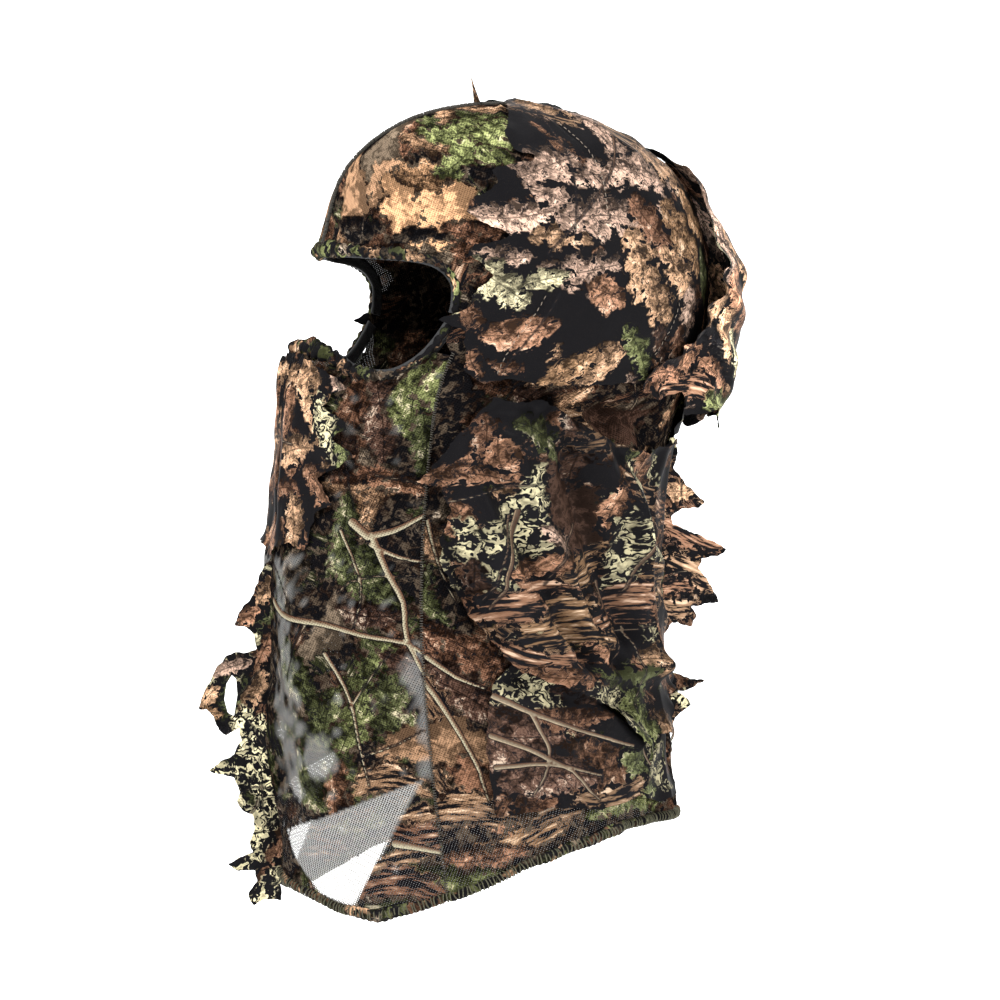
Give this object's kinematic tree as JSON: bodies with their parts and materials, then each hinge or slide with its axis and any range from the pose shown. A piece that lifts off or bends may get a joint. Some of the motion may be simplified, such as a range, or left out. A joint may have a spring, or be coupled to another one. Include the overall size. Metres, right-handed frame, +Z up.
{
  "type": "camouflage face mask hood",
  "caption": "Leafy camouflage head hood with a gathered eye opening, a sheer face veil that pulls down, a neck skirt with overlocked hems, and leaf-cut cloth pieces sewn over it.",
  "frame": {"origin": "the inside of the crown at the middle of its seam, where the top of the wearer's head rests", "axes": "+Z up, -Y the way the face looks, +X the wearer's left"},
  "size_m": [0.1734, 0.3032, 0.4306],
  "materials": {
    "printed_knit": "sheer warp-knit mesh printed with leaves and twigs",
    "edge_knit": "gathered and overlocked knit edge",
    "black_elastic": "flat covered elastic",
    "tan_thread": "sewing thread",
    "green_cloth": "printed satin-faced cloth, leaf-cut edge",
    "bark_cloth": "printed satin-faced cloth, leaf-cut edge",
    "leaf_cloth": "printed satin-faced cloth, leaf-cut edge"
  },
  "bodies": {
    "hood": {"hood_left": "printed_knit", "hood_right": "printed_knit", "crown_seam": "edge_knit", "brow_binding": "edge_knit", "brow_elastic": "black_elastic", "hood_hem": "edge_knit", "veil_seam_left": "edge_knit", "veil_seam_right": "edge_knit", "side_leaf_left": "leaf_cloth", "side_leaf_right": "leaf_cloth", "shoulder_leaf_left": "bark_cloth", "shoulder_leaf_right": "bark_cloth", "nape_leaf": "green_cloth", "crown_tongue": "bark_cloth", "stitching_left_1": "tan_thread", "stitching_left_2": "tan_thread", "stitching_left_3": "tan_thread", "stitching_right_1": "tan_thread", "stitching_right_2": "tan_thread", "stitching_right_3": "tan_thread"},
    "veil": {"face_veil": "printed_knit", "nose_binding": "edge_knit", "nose_elastic": "black_elastic", "veil_hem": "edge_knit", "chin_panel": "leaf_cloth"},
    "front_strip": {"front_strip": "bark_cloth"},
    "back_flap": {"back_flap": "leaf_cloth"},
    "neck_leaf_left": {"neck_leaf_left": "bark_cloth"},
    "neck_leaf_right": {"neck_leaf_right": "bark_cloth"},
    "spine_strip": {"spine_strip": "bark_cloth"}
  },
  "joints": [
    {"name": "veil_pull", "type": "slide", "parent": "hood", "child": "veil", "axis": [0, -0.287, -0.9579], "range_m": [0, 0.05]},
    {"name": "front_strip_swing", "type": "hinge", "parent": "veil", "child": "front_strip", "pos_m": [0, -0.1315, -0.33], "axis": [0, 0, 1], "range_deg": [-45, 45]},
    {"name": "back_flap_lift", "type": "hinge", "parent": "hood", "child": "back_flap", "pos_m": [0, 0.0835, -0.0215], "axis": [1, 0, 0], "range_deg": [0, 30]},
    {"name": "neck_leaf_left_open", "type": "hinge", "parent": "hood", "child": "neck_leaf_left", "pos_m": [0.008, 0.096, -0.25], "axis": [0, 0, 1], "range_deg": [0, 30]},
    {"name": "neck_leaf_right_open", "type": "hinge", "parent": "hood", "child": "neck_leaf_right", "pos_m": [-0.008, 0.096, -0.25], "axis": [0, 0, -1], "range_deg": [0, 30]},
    {"name": "spine_strip_swing", "type": "hinge", "parent": "hood", "child": "spine_strip", "pos_m": [0, 0.092, -0.25], "axis": [0, 0, 1], "range_deg": [-35, 35]}
  ]
}
